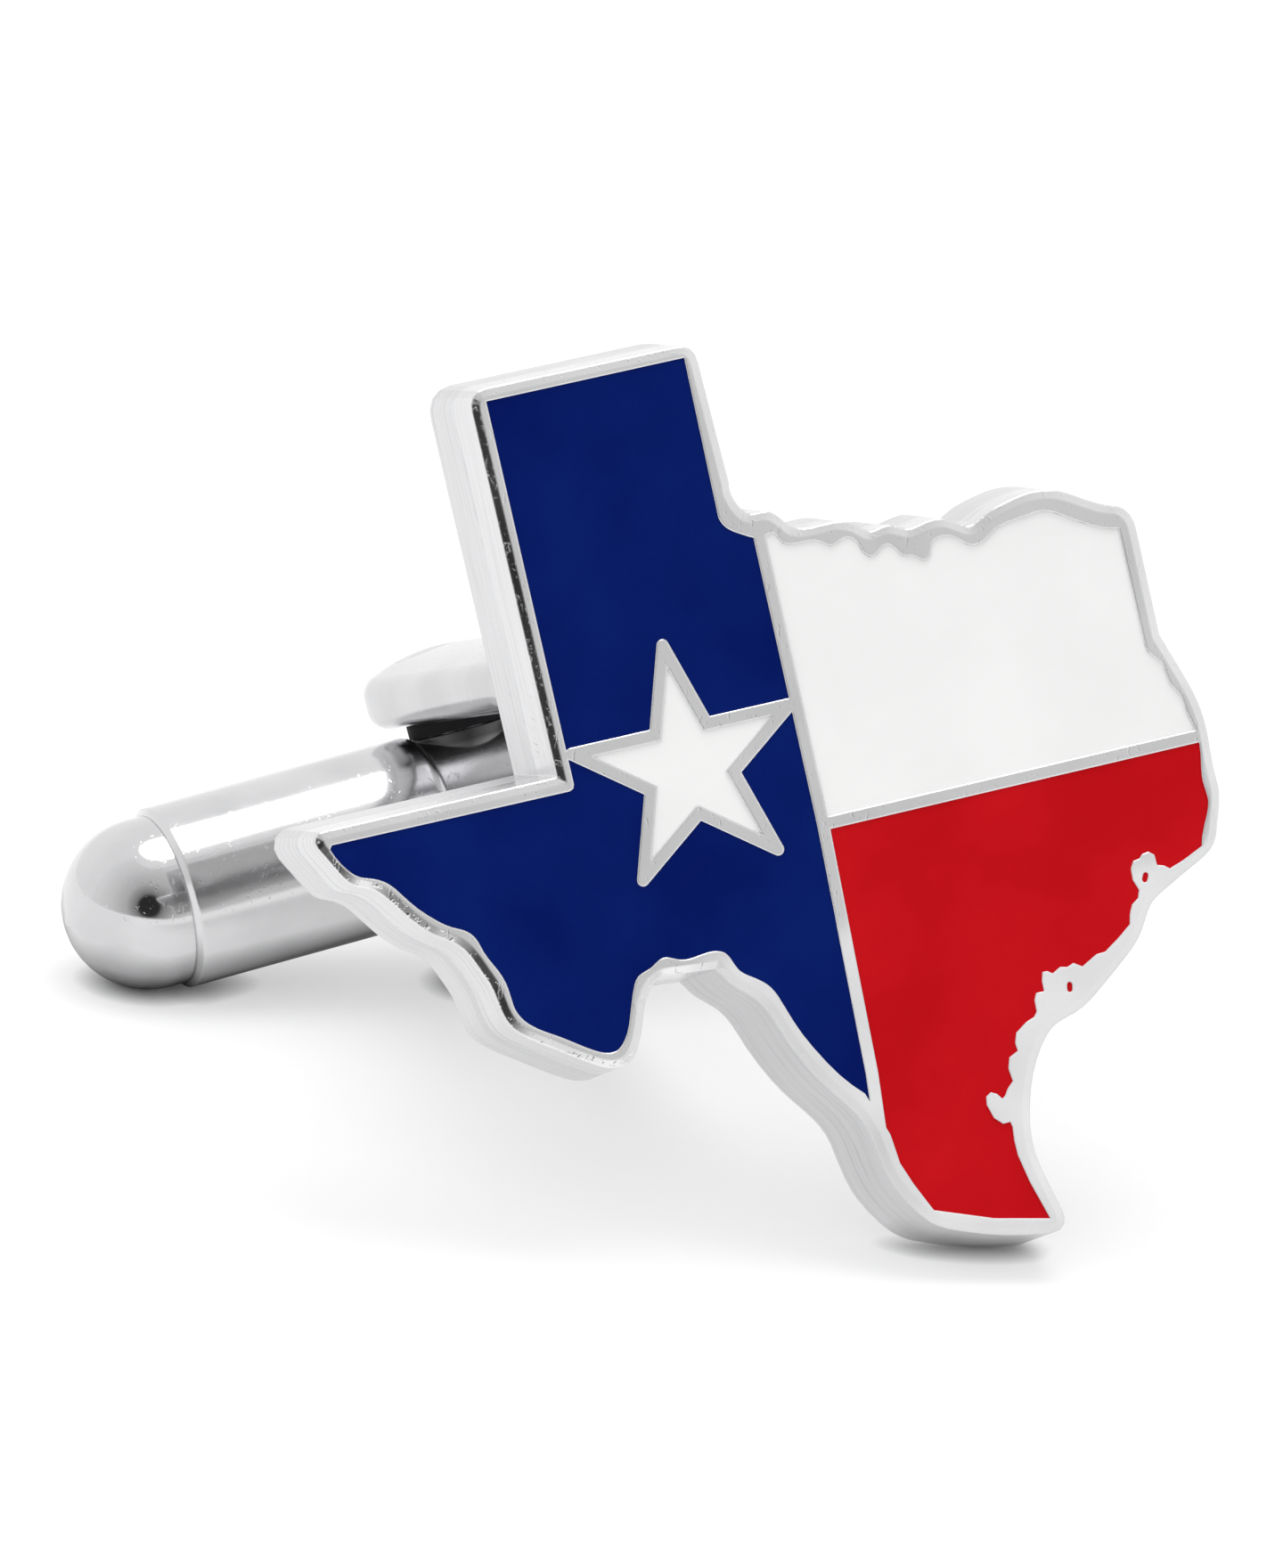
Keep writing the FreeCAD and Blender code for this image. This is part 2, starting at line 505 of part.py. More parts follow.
def brake_spring():
    """Right coil spring between the plunger's head and the cap, one wire on quarter-turn arcs."""
    start = plunger_head_start() + PLUNGER_HEAD_LENGTH + SPRING_WIRE / 2 + SEAT_FIT
    end = TUBE_END - CAP_SPIGOT_LENGTH - SPRING_WIRE / 2 - SEAT_FIT
    pitch = (end - start) / SPRING_TURNS
    radius = (SPRING_DIAMETER - SPRING_WIRE) / 2
    steps = [helix_point(k / 4, radius, start, pitch) for k in range(4 * SPRING_TURNS + 1)]
    edges = []
    for first, second in zip(steps, steps[1:]):
        edges += biarc(first, second)
    place, along = steps[0]
    section = Part.Wire(Part.Circle(place, along, SPRING_WIRE / 2).toShape())
    print("spring: pitch %.3f, gap between turns %.3f" % (pitch, pitch - SPRING_WIRE))
    return Part.Wire(edges).makePipeShell([section], True, False)


def mirrored(shape):
    """The left-hand twin of a right-hand piece of the bar."""
    return shape.mirror(Vec(0, 0, 0), X_AXIS)


def all_pieces():
    """Every piece in the bench frame, by name."""
    pieces = {}
    cells = cell_blocks()
    pieces["face_plate"] = face_plate(cells)
    for name, cell in cells.items():
        pieces[name] = enamel(name, cell)
    post = post_place()
    fixed = {
        "swivel_fork": swivel_fork(),
        "solder_ring": solder_ring(),
        "pivot_pin": pivot_pin(),
        "pivot_washers": pivot_washers(),
    }
    for name, shape in fixed.items():
        pieces[name] = placed(shape, post)
    turning = {"toggle_hub": toggle_hub()}
    for name, shape in (("toggle_tube", toggle_tube()), ("end_cap", end_cap()),
                        ("brake_plunger", brake_plunger()), ("brake_spring", brake_spring())):
        turning[name + "_right"] = shape
        turning[name + "_left"] = mirrored(shape)
    for name, shape in turning.items():
        pieces[name] = placed(shape, post)
    return pieces


def placed(shape, placement):
    """A copy of a shape, moved by a placement."""
    copy = shape.copy()
    copy.Placement = placement.multiply(copy.Placement)
    return copy


def post_place():
    """Where the pin's middle sits and how the post and the bar are turned."""
    return FreeCAD.Placement(at(POST, PIN_Y), FreeCAD.Rotation(Y_AXIS, -POST_TURN))


def resting_turn(pieces):
    """The turn that brings the plate's lower tip, the lower arm and the left cap down to one level."""
    points = {name: pieces[name].tessellate(SEARCH_MESH)[0] for name in ("face_plate", "swivel_fork", "end_cap_left")}

    def turn(lean, roll):
        return FreeCAD.Rotation(X_AXIS, -lean).multiply(FreeCAD.Rotation(Y_AXIS, -roll))

    def lowest(name, rotation):
        up = rotation.inverted().multVec(Z_AXIS)
        return min(up.dot(point) for point in points[name])

    low_lean = 0
    high_lean = STEEPEST
    for _ in range(HALVINGS):
        lean = (low_lean + high_lean) / 2
        low_roll = 0
        high_roll = STEEPEST
        for _ in range(HALVINGS):
            roll = (low_roll + high_roll) / 2
            rotation = turn(lean, roll)
            arm_height = lowest("swivel_fork", rotation)
            if lowest("end_cap_left", rotation) < arm_height:
                high_roll = roll
            else:
                low_roll = roll
        if lowest("face_plate", rotation) < arm_height:
            low_lean = lean
        else:
            high_lean = lean
    print("leans back %.3f and rolls left %.3f degrees" % (lean, roll))
    return rotation


def resting_place(pieces):
    """Leans and rolls the cufflink, then puts the middle of its footprint on the table at the origin."""
    turned = FreeCAD.Placement(Vec(0, 0, 0), resting_turn(pieces))
    whole = FreeCAD.BoundBox()
    for shape in pieces.values():
        whole.add(placed(shape, turned).optimalBoundingBox(False, False))
    middle = whole.Center
    print("overall %.3f %.3f %.3f" % (whole.XLength, whole.YLength, whole.ZLength))
    return FreeCAD.Placement(Vec(-middle.x, -middle.y, -whole.ZMin), turned.Rotation)


def main():
    """Builds every piece, lays the cufflink on the table and writes one file a piece."""
    os.makedirs("parts", exist_ok=True)
    pieces = all_pieces()
    rest = resting_place(pieces)
    for name, shape in pieces.items():
        piece = placed(shape, rest)
        piece.exportStep("parts/" + name + ".step")
        print("%-20s %8.3f mm3, %d solids, valid %s" % (name, piece.Volume, len(piece.Solids), piece.isValid()))
    pin = rest.multVec(at(POST, PIN_Y))
    star = rest.multVec(Vec(0, 0, 0))
    axes = [rest.Rotation.multVec(axis) for axis in (X_AXIS, Y_AXIS, Z_AXIS)]
    hinge = rest.Rotation.multVec(post_place().Rotation.multVec(Z_AXIS))
    print("pin at %.5f %.5f %.5f" % (pin.x, pin.y, pin.z))
    print("hinge points along %.6f %.6f %.6f" % (hinge.x, hinge.y, hinge.z))
    print("star's middle at %.5f %.5f %.5f" % (star.x, star.y, star.z))
    for name, axis in zip("XYZ", axes):
        print("bench %s points along %.6f %.6f %.6f" % (name, axis.x, axis.y, axis.z))


main()
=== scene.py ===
# %% [markdown]
# # A cufflink with an enamelled face and a swivelling bar
#
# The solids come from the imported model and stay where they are. This lesson gives them their
# finishes: bright plated metal, three colours of enamel, drawn wire and turned brass, and sets up
# a pale table, soft light and the camera. It adds no piece, because every form of the real
# cufflink is already in the solids.

# %% Load the frame
import json
import math

import bpy
import numpy as np
from mathutils import Matrix, Vector

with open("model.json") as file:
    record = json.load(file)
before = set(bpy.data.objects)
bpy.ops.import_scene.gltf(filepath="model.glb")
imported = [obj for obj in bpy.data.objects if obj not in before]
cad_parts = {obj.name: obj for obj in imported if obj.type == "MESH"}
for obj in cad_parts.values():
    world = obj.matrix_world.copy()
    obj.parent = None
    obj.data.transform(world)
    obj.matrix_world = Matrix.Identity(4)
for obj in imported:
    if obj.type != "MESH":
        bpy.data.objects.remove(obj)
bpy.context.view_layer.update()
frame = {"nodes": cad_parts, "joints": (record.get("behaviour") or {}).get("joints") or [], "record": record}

NODES = frame["nodes"]

# %% [markdown]
# ## The plate's own axes
#
# The plate leans back and rolls a little to one side, so patterns that follow it need its own
# axes. They could be typed in as numbers, but reading them from the record keeps the patterns on
# the plate however the cufflink lies. The plate's back face points along its depth. The hinge's
# axis runs up the plate, a small turn aside, because the post is soldered on a little turned.

# %% The plate's own axes
MM = 0.001
PIN_FROM_STAR = (0.45 * MM, 17.5 * MM, -0.43 * MM)
POST_TURN = math.radians(2.4)
mounts = {mount["name"]: mount for mount in frame["record"]["mounts"]}
PLATE_DEPTH = Vector(mounts["cuff_face"]["axis"]).normalized()
HINGE = Vector(frame["joints"][0]["axis"]).normalized()
PIN = Vector(frame["joints"][0]["pos_m"])
BAR = PLATE_DEPTH.cross(HINGE).normalized()
PLATE_RIGHT = BAR * math.cos(POST_TURN) - HINGE * math.sin(POST_TURN)
PLATE_UP = HINGE * math.cos(POST_TURN) + BAR * math.sin(POST_TURN)


def from_plate(step):
    """A step in plate axes as a step in the frame: right * x + depth * y + up * z."""
    return PLATE_RIGHT * step[0] + PLATE_DEPTH * step[1] + PLATE_UP * step[2]


STAR_MIDDLE = PIN - from_plate(PIN_FROM_STAR)
print("star's middle:", STAR_MIDDLE)
print("plate right, depth, up:", PLATE_RIGHT, PLATE_DEPTH, PLATE_UP)

# %% [markdown]
# ## Finishes
#
# A finish is a tree of nodes. Node trees can be drawn by hand, but written out they are easy to
# repeat, and small helpers keep them readable: one adds a node with its settings, one feeds its
# inputs, one makes a colour ramp and one carries a value from one range to another.

# %% Helpers for node trees


def feed(tree, node, links):
    """Gives each input, by name or number, a socket to read or a plain value."""
    for name, value in links.items():
        socket = node.inputs[name]
        if isinstance(value, bpy.types.NodeSocket):
            tree.links.new(value, socket)
        else:
            socket.default_value = value


def add(tree, kind, links=None, **settings):
    """Adds a node; settings are its properties, links feed its inputs."""
    node = tree.nodes.new(kind)
    for name, value in settings.items():
        setattr(node, name, value)
    feed(tree, node, links or {})
    return node


def ramp(tree, factor, stops):
    """A colour ramp through (place, grey or colour) stops."""
    node = add(tree, "ShaderNodeValToRGB", {0: factor})
    elements = node.color_ramp.elements
    while len(elements) < len(stops):
        elements.new(0.5)
    for element, (place, tone) in zip(elements, stops):
        colour = (tone, tone, tone) if isinstance(tone, (int, float)) else tone
        element.position = place
        element.color = (*colour, 1.0)
    return node.outputs[0]


def span(tree, value, low, high, to_low, to_high):
    """Carries a value from one range to another, held at the ends."""
    node = add(tree, "ShaderNodeMapRange", {0: value, 1: low, 2: high, 3: to_low, 4: to_high})
    return node.outputs[0]


print("helpers for trees:", [helper.__name__ for helper in (feed, add, ramp, span)])

# %% [markdown]
# Wear and bands on the real piece lie in certain places, and a mask says where: it is 1 there and
# 0 elsewhere. Masks come from how far a point lies along an axis, and from noise. They are then
# multiplied, compared and blended, so each of these steps gets a short name.

# %% Helpers for masks


def times(tree, first, second):
    """The product of two values: first * second."""
    return add(tree, "ShaderNodeMath", {0: first, 1: second}, operation="MULTIPLY").outputs[0]


def larger(tree, first, second):
    """The larger of two values."""
    return add(tree, "ShaderNodeMath", {0: first, 1: second}, operation="MAXIMUM").outputs[0]


def raised(tree, base, mask, amount):
    """A base value, changed by an amount where the mask is 1: mask * amount + base."""
    links = {0: mask, 1: amount, 2: base}
    return add(tree, "ShaderNodeMath", links, operation="MULTIPLY_ADD").outputs[0]


def within(tree, value, middle, reach):
    """1 where a value lies within reach of a middle, and 0 elsewhere."""
    links = {0: value, 1: middle, 2: reach}
    return add(tree, "ShaderNodeMath", links, operation="COMPARE").outputs[0]


def blend(tree, mask, first, second):
    """The first colour where the mask is 0, the second where it is 1."""
    return add(tree, "ShaderNodeMix", {0: mask, 6: first, 7: second}, data_type="RGBA").outputs[2]


def noise(tree, place, scale, detail):
    """Smooth noise between 0 and 1, with a scale in waves per metre."""
    links = {"Vector": place, "Scale": scale, "Detail": detail}
    return add(tree, "ShaderNodeTexNoise", links).outputs["Fac"]


def step_from(tree, place, point):
    """The step from a point to a place: place - point."""
    links = {0: place, 1: tuple(point)}
    return add(tree, "ShaderNodeVectorMath", links, operation="SUBTRACT").outputs[0]


def part_along(tree, step, axis):
    """How far a step goes along an axis: their dot product."""
    links = {0: step, 1: tuple(axis)}
    return add(tree, "ShaderNodeVectorMath", links, operation="DOT_PRODUCT").outputs["Value"]


print("helpers for masks:", [helper.__name__ for helper in (
    times, larger, raised, within, blend, noise, step_from, part_along)])

# %% [markdown]
# Polished plating is never perfectly even: handling leaves hairlines in a few directions, and
# patches of slightly duller polish. One group makes both, so every metal piece can use it with
# its own size. The hairlines could be drawn one by one, but noise that is stretched more than
# fifty times along one direction gives them without an end or a repeat.

# %% Polish marks, shared by all metals
FLOAT = "NodeSocketFloat"
VECTOR = "NodeSocketVector"
PATCH_SCALE = 420.0
HAIRLINE_RANGE = (0.66, 0.74)
HAIRLINE_TURNS_AND_SCALES = (
    ((0.3, 0.5, 0.4), (9000.0, 160.0, 9000.0)),
    ((1.1, -0.4, 1.9), (7000.0, 7000.0, 130.0)),
)


def group(name, inputs, outputs):
    """An empty node group with named sockets, and its two end nodes."""
    tree = bpy.data.node_groups.new(name, "ShaderNodeTree")
    for label, kind, value in inputs:
        socket = tree.interface.new_socket(label, in_out="INPUT", socket_type=kind)
        if value is not None:
            socket.default_value = value
    for label, kind in outputs:
        tree.interface.new_socket(label, in_out="OUTPUT", socket_type=kind)
    return tree, tree.nodes.new("NodeGroupInput"), tree.nodes.new("NodeGroupOutput")


def make_polish_marks():
    """Group: patches = broad noise; hairlines = thresholded noise stretched in two directions."""
    tree, start, end = group(
        "polish marks",
        [("Place", VECTOR, None), ("Size", FLOAT, 1.0)],
        [("Patches", FLOAT), ("Hairlines", FLOAT)],
    )
    links = {0: start.outputs["Place"], "Scale": start.outputs["Size"]}
    sized = add(tree, "ShaderNodeVectorMath", links, operation="SCALE").outputs[0]
    patches = noise(tree, sized, PATCH_SCALE, 4.0)
    lines = []
    for turn, scale in HAIRLINE_TURNS_AND_SCALES:
        links = {"Vector": sized, "Rotation": turn, "Scale": scale}
        turned = add(tree, "ShaderNodeMapping", links).outputs[0]
        lines.append(span(tree, noise(tree, turned, 1.0, 2.0), *HAIRLINE_RANGE, 0.0, 1.0))
    feed(tree, end, {"Patches": patches, "Hairlines": larger(tree, *lines)})
    return tree


POLISH_MARKS = make_polish_marks()
print("group:", POLISH_MARKS.name, "with", len(POLISH_MARKS.nodes), "nodes")

# %% [markdown]
# The bar, post and plate are base metal with a bright, slightly cool plating. A picture of metal
# could be wrapped on, but it would show its seams. Here metal is a Principled shader with Metallic
# at 1: the patches move its tone and roughness a little, and the hairlines become a fine bump. The
# Bevel node rounds edges in the shading, as plating and polishing do on the real piece.

# %% Metal
TONE_RANGE = (0.35, 0.65)
POLISH_RANGE = (0.3, 0.7)
HAIRLINE_DULLNESS = 0.06
HAIRLINE_STRENGTH = 0.15
EDGE_SAMPLES = 6


def new_material(name):
    """A material with an empty tree, a Principled shader and its output."""
    material = bpy.data.materials.new(name)
    material.use_nodes = True
    tree = material.node_tree
    tree.nodes.clear()
    shader = tree.nodes.new("ShaderNodeBsdfPrincipled")
    output = tree.nodes.new("ShaderNodeOutputMaterial")
    tree.links.new(shader.outputs[0], output.inputs["Surface"])
    return material, tree, shader


def object_place(tree):
    """The place of a point in the piece's own coordinates."""
    return add(tree, "ShaderNodeTexCoord").outputs["Object"]


def make_metal(name, dark, light, smooth, rough, size=1.0, hairline=0.02 * MM, edge=0.08 * MM):
    """Metal between two tones and two roughnesses, with hairlines of a depth and eased edges.

    tone and roughness = patches carried to their two ends; roughness rises in the hairlines.
    """
    material, tree, shader = new_material(name)
    place = object_place(tree)
    marks = add(tree, "ShaderNodeGroup", {"Place": place, "Size": size}, node_tree=POLISH_MARKS)
    patches, hairlines = marks.outputs["Patches"], marks.outputs["Hairlines"]
    tone = ramp(tree, patches, list(zip(TONE_RANGE, (dark, light))))
    even = span(tree, patches, *POLISH_RANGE, smooth, rough)
    worn = raised(tree, even, hairlines, HAIRLINE_DULLNESS)
    eased = add(tree, "ShaderNodeBevel", {"Radius": edge}, samples=EDGE_SAMPLES).outputs[0]
    normal = add(tree, "ShaderNodeBump", {
        "Strength": HAIRLINE_STRENGTH, "Distance": hairline, "Height": hairlines, "Normal": eased,
    }, invert=True).outputs[0]
    feed(tree, shader, {"Base Color": tone, "Roughness": worn, "Normal": normal, "Metallic": 1.0})
    return material, tree, shader, {"place": place, "tone": tone, "worn": worn, "normal": normal}


print("noise from", TONE_RANGE, "moves the tone, and from", POLISH_RANGE, "the polish")

# %% [markdown]
# The small pieces differ in how they were finished: the bar and its caps are polished, the post is
# a little worn, the pin's heads are filed, solder is dull, and inside the bar sit turned brass
# plungers and springs of drawn wire. One function makes them all, from a tone and a polish each.

# %% Metals of the bar, post and brake


def plating(tone):
    """A slightly cool grey: the blue lies a hundredth above the red and green."""
    return (tone, tone, tone + 0.01)


BAR_TONES = (plating(0.64), plating(0.72))
BAR_POLISH = (0.10, 0.17)
PIN_MARKS = {"size": 1.6, "hairline": 0.04 * MM}
BAR_METAL = make_metal("bar plating", *BAR_TONES, *BAR_POLISH)[0]
CAP_METAL = make_metal("cap plating", plating(0.62), plating(0.70), 0.06, 0.11)[0]
POST_METAL = make_metal("post plating", plating(0.56), plating(0.64), 0.12, 0.2)[0]
PIN_METAL = make_metal("filed pin", plating(0.62), plating(0.74), 0.22, 0.34, **PIN_MARKS)[0]
SOLDER = make_metal("solder", plating(0.5), plating(0.66), 0.3, 0.5, size=2.5)[0]
BRASS = make_metal("turned brass", (0.6, 0.42, 0.16), (0.78, 0.6, 0.28), 0.18, 0.3, size=1.5)[0]
SPRING = make_metal("drawn wire", (0.4, 0.4, 0.42), (0.58, 0.58, 0.6), 0.25, 0.4, size=2.0)[0]
print("metals:", [metal.name for metal in (
    BAR_METAL, CAP_METAL, POST_METAL, PIN_METAL, SOLDER, BRASS, SPRING)])

# %% [markdown]
# The hub turns between the arms, and beside the washers the arms shade it. A second piece could
# carry that dark band, but it is only painted shade, so it is a mask in the material: the height
# above or below the pin's middle, measured along the hinge.

# %% Hub metal, with painted shade beside the washers
# Range, tone and dullness of the band of painted shade on the hub, under the arms
HUB_SHADE_RANGE = (1.2 * MM, 1.8 * MM)
HUB_SHADE_TONE = (0.11, 0.11, 0.112, 1.0)
HUB_SHADE_DULLNESS = 0.25


def make_hub_metal():
    """Bar plating; painted shade: |(place - pin) . hinge axis| over its range darkens and dulls it."""
    material, tree, shader, made = make_metal("hub plating", *BAR_TONES, *BAR_POLISH)
    height = part_along(tree, step_from(tree, made["place"], PIN), HINGE)
    apart = add(tree, "ShaderNodeMath", {0: height}, operation="ABSOLUTE").outputs[0]
    hub_shade = span(tree, apart, *HUB_SHADE_RANGE, 0.0, 1.0)
    feed(tree, shader, {
        "Base Color": blend(tree, hub_shade, made["tone"], HUB_SHADE_TONE),
        "Roughness": raised(tree, made["worn"], hub_shade, HUB_SHADE_DULLNESS),
    })
    return material


HUB_METAL = make_hub_metal()
print("hub:", HUB_METAL.name, "dark from", HUB_SHADE_RANGE[0] / MM, "to", HUB_SHADE_RANGE[1] / MM, "mm")

# %% [markdown]
# ### The plate
#
# The plate was struck, filed and polished, and each part of it shows that: a flat bright rim, a
# sloping shoulder that was filed by hand, a side wall struck from two sides, a tail below the star
# that is rubbed matt, and a back that was never polished. The parts could be painted face by face,
# but they follow the plate's own axes, so the depth behind the rim and the place beside and above
# the star's middle are enough to tell them apart.

# %% Parts of the plate
SHOULDER_MIDDLE = 0.03 * MM
SHOULDER_HALF = 0.028 * MM
MATT_END = (0.055 * MM, 0.065 * MM)
WALL_START = (0.06 * MM, 0.1 * MM)
PARTING_DEPTH = 1.2 * MM
BAND_SOFTNESS = 0.12 * MM
BACK_FACE = (2.62 * MM, 2.78 * MM)
TAIL_SIDE = (-1.2 * MM, -0.5 * MM)
TAIL_TOP = (-4.9 * MM, -4.2 * MM)


def plate_place(tree, place):
    """Depth behind the rim, then right of and above the star: (place - star's middle) . axis."""
    step = step_from(tree, place, STAR_MIDDLE)
    return [part_along(tree, step, axis) for axis in (PLATE_DEPTH, PLATE_RIGHT, PLATE_UP)]


def plate_masks(tree, depth, across, rise):
    """Masks of the plate's parts, each a span of the depth, the place across or the rise."""
    beside = span(tree, across, *TAIL_SIDE, 0.0, 1.0)
    tail = times(tree, beside, span(tree, rise, *TAIL_TOP, 1.0, 0.0))
    wall = span(tree, depth, *WALL_START, 0.0, 1.0)
    parting = (PARTING_DEPTH - BAND_SOFTNESS, PARTING_DEPTH + BAND_SOFTNESS)
    return {
        "tail": tail,
        "shoulder": within(tree, depth, SHOULDER_MIDDLE, SHOULDER_HALF),
        "matt": times(tree, span(tree, depth, *MATT_END, 1.0, 0.0), tail),
        "wall": wall,
        "tail wall": times(tree, wall, tail),
        "behind": span(tree, depth, *parting, 0.0, 1.0),
        "reverse": span(tree, depth, *BACK_FACE, 0.0, 1.0),
    }


print("depths behind the rim: wall", WALL_START[0] / MM, "mm, parting", PARTING_DEPTH / MM, "mm")

# %% [markdown]
# The side wall is a shade duller than the rim. A faint, broken line runs where the two dies met,
# and polishing left fine streaks that follow the outline. Both are far too shallow to model, so
# they darken the tone. The streaks are noise that changes fast with the depth and slowly along
# the wall.

# %% Tone of the side wall
FRONT_SHARE = 0.7
WALL_TONE = (0.70, 0.70, 0.71, 1.0)
# Painted shade: the tail's wall, just above the table, takes a darker tone all over
TAIL_WALL_SHADE_TONE = (0.68, 0.68, 0.69, 1.0)
MARK_TONE = (0.3, 0.3, 0.31, 1.0)
LINE_WIDTH = 0.05 * MM
LINE_GAPS = 900.0
LINE_SPAN = (0.4, 0.65, 0.0, 0.3)
STREAK_SCALES = (14000.0, 260.0, 260.0)
STREAK_SPAN = (0.5, 0.72, 0.0, 0.32)


def stretched_noise(tree, parts, scales):
    """Noise at the place (part * scale, ...), so that a small scale draws it out along its axis."""
    stretched = {number: times(tree, part, scale)
                 for number, (part, scale) in enumerate(zip(parts, scales))}
    place = add(tree, "ShaderNodeCombineXYZ", stretched).outputs[0]
    return noise(tree, place, 1.0, 3.0)


def wall_colour(tree, tone, masks, place, parts):
    """Tones of both bands, the tail's wall darker as painted shade, with the line and streaks."""
    front = blend(tree, times(tree, masks["wall"], FRONT_SHARE), tone, WALL_TONE)
    bands = blend(tree, masks["behind"], front, WALL_TONE)
    walls = blend(tree, masks["tail wall"], bands, TAIL_WALL_SHADE_TONE)
    parting = within(tree, parts[0], PARTING_DEPTH, LINE_WIDTH)
    line = times(tree, parting, span(tree, noise(tree, place, LINE_GAPS, 2.0), *LINE_SPAN))
    rubs = stretched_noise(tree, parts, STREAK_SCALES)
    streaks = times(tree, masks["wall"], span(tree, rubs, *STREAK_SPAN))
    return blend(tree, larger(tree, line, streaks), walls, MARK_TONE)


print("wall tones:", WALL_TONE[0], "and, on the tail,", TAIL_WALL_SHADE_TONE[0])

# %% [markdown]
# The back is brushed along the plate's height: short strokes of a lighter and a darker grey. The
# shoulder's filing left a mirror with sparse nicks, and the tail is matt: rougher and only partly
# metallic. Nicks are smaller than a hair, so they are a bump and not a shape.

# %% Plate metal
PLATE_TONES = (plating(0.80), plating(0.87))
PLATE_POLISH = (0.16, 0.26)
PLATE_MARKS = {"hairline": 0.03 * MM, "edge": 0.07 * MM}
BRUSH_SCALES = (9000.0, 250.0)
BRUSH_TONES = [(0.3, 0.46), (0.7, 0.58)]
WALL_DULLNESS = 0.1
MATT_DULLNESS = 0.25
FILED_DULLNESS = -0.1
MATT_METALLIC = 0.4
NICK_SCALE = 7000.0
NICK_RANGE = (0.6, 0.72)
NICK_STRENGTH = 0.2
NICK_HEIGHT = 0.03 * MM


def plate_roughness(tree, worn, masks):
    """The polish, duller on the back band and the matt tail and smoother on the filed shoulder."""
    dull = raised(tree, worn, larger(tree, masks["behind"], masks["tail wall"]), WALL_DULLNESS)
    rubbed = raised(tree, dull, masks["matt"], MATT_DULLNESS)
    filed = times(tree, masks["shoulder"], span(tree, masks["tail"], 0.0, 1.0, 1.0, 0.0))
    return raised(tree, rubbed, filed, FILED_DULLNESS)


def make_plate_metal():
    """Plate plating: wall and back colours, roughness and nicks, each laid on by its mask."""
    material, tree, shader, made = make_metal(
        "plate plating", *PLATE_TONES, *PLATE_POLISH, **PLATE_MARKS)
    parts = plate_place(tree, made["place"])
    masks = plate_masks(tree, *parts)
    walls = wall_colour(tree, made["tone"], masks, made["place"], parts)
    brushed = ramp(tree, stretched_noise(tree, parts[1:], BRUSH_SCALES), BRUSH_TONES)
    chips = span(tree, noise(tree, made["place"], NICK_SCALE, 2.0), *NICK_RANGE, 0.0, 1.0)
    nicked = add(tree, "ShaderNodeBump", {
        "Strength": NICK_STRENGTH, "Distance": NICK_HEIGHT,
        "Height": times(tree, masks["shoulder"], chips), "Normal": made["normal"],
    }).outputs[0]
    feed(tree, shader, {
        "Base Color": blend(tree, masks["reverse"], walls, brushed),
        "Roughness": plate_roughness(tree, made["worn"], masks),
        "Metallic": span(tree, masks["matt"], 0.0, 1.0, 1.0, MATT_METALLIC),
        "Normal": nicked,
    })
    return material


PLATE_METAL = make_plate_metal()
print("plate:", PLATE_METAL.name, "with", len(PLATE_METAL.node_tree.nodes), "nodes")

# %% [markdown]
# ### Enamel
#
# Enamel is a glossy paint that fills the cells. Its colour is deep, with the faintest cloudiness,
# and its surface has the slight orange peel of something that flowed and set. A plain colour would
# look like paper, so a group makes the cloud and the peel, and all three colours use it. The washers
# use it too, duller and near-black: that black is painted shade for the gap under the arms.

# %% Enamel
CLOUD_SCALE = 350.0
PEEL_SCALE = 2600.0
PEEL_STRENGTH = 0.15
PEEL_DEPTH = 0.01 * MM
GLOSS_SPREAD = 0.04
ENAMEL_SPECULAR = 0.03


def make_enamel_body():
    """Group: cloud = broad soft noise, peel = fine noise for the bump."""
    inputs, outputs = [("Place", VECTOR, None)], [("Cloud", FLOAT), ("Peel", FLOAT)]
    tree, start, end = group("enamel body", inputs, outputs)
    cloud = noise(tree, start.outputs["Place"], CLOUD_SCALE, 3.0)
    peel = noise(tree, start.outputs["Place"], PEEL_SCALE, 2.0)
    feed(tree, end, {"Cloud": cloud, "Peel": peel})
    return tree


def make_enamel(name, deep, bright, gloss):
    """Enamel between a deep and a bright tone of one colour; gloss is its mean roughness."""
    material, tree, shader = new_material(name)
    body = add(tree, "ShaderNodeGroup", {"Place": object_place(tree)}, node_tree=ENAMEL_BODY)
    cloud = body.outputs["Cloud"]
    bump = add(tree, "ShaderNodeBump", {
        "Strength": PEEL_STRENGTH, "Distance": PEEL_DEPTH, "Height": body.outputs["Peel"],
    }).outputs[0]
    feed(tree, shader, {
        "Base Color": ramp(tree, cloud, list(zip(TONE_RANGE, (deep, bright)))),
        "Roughness": span(tree, cloud, *POLISH_RANGE, gloss - GLOSS_SPREAD, gloss + GLOSS_SPREAD),
        "Normal": bump,
        "Specular IOR Level": ENAMEL_SPECULAR,
    })
    return material


ENAMEL_BODY = make_enamel_body()
BLUE = make_enamel("blue enamel", (0.0006, 0.0078, 0.116), (0.0012, 0.0125, 0.142), 0.26)
RED = make_enamel("red enamel", (0.53, 0.0030, 0.0070), (0.60, 0.005, 0.0100), 0.26)
WHITE = make_enamel("white enamel", (0.92, 0.92, 0.915), (0.95, 0.95, 0.945), 0.28)
# Painted shade: the washers are near-black to stand for the shade in the gap under the arms
SHADED_WASHERS = make_enamel("washers in painted shade", (0.022, 0.022, 0.024), (0.034, 0.034, 0.036), 0.5)
print("enamels and washers:", [fill.name for fill in (BLUE, RED, WHITE, SHADED_WASHERS)])

# %% [markdown]
# ### Every piece gets its finish
#
# Each piece of the real cufflink is one material, so a table of names and finishes is enough. The
# two halves of the bar share their finishes, as do the cells of one colour.

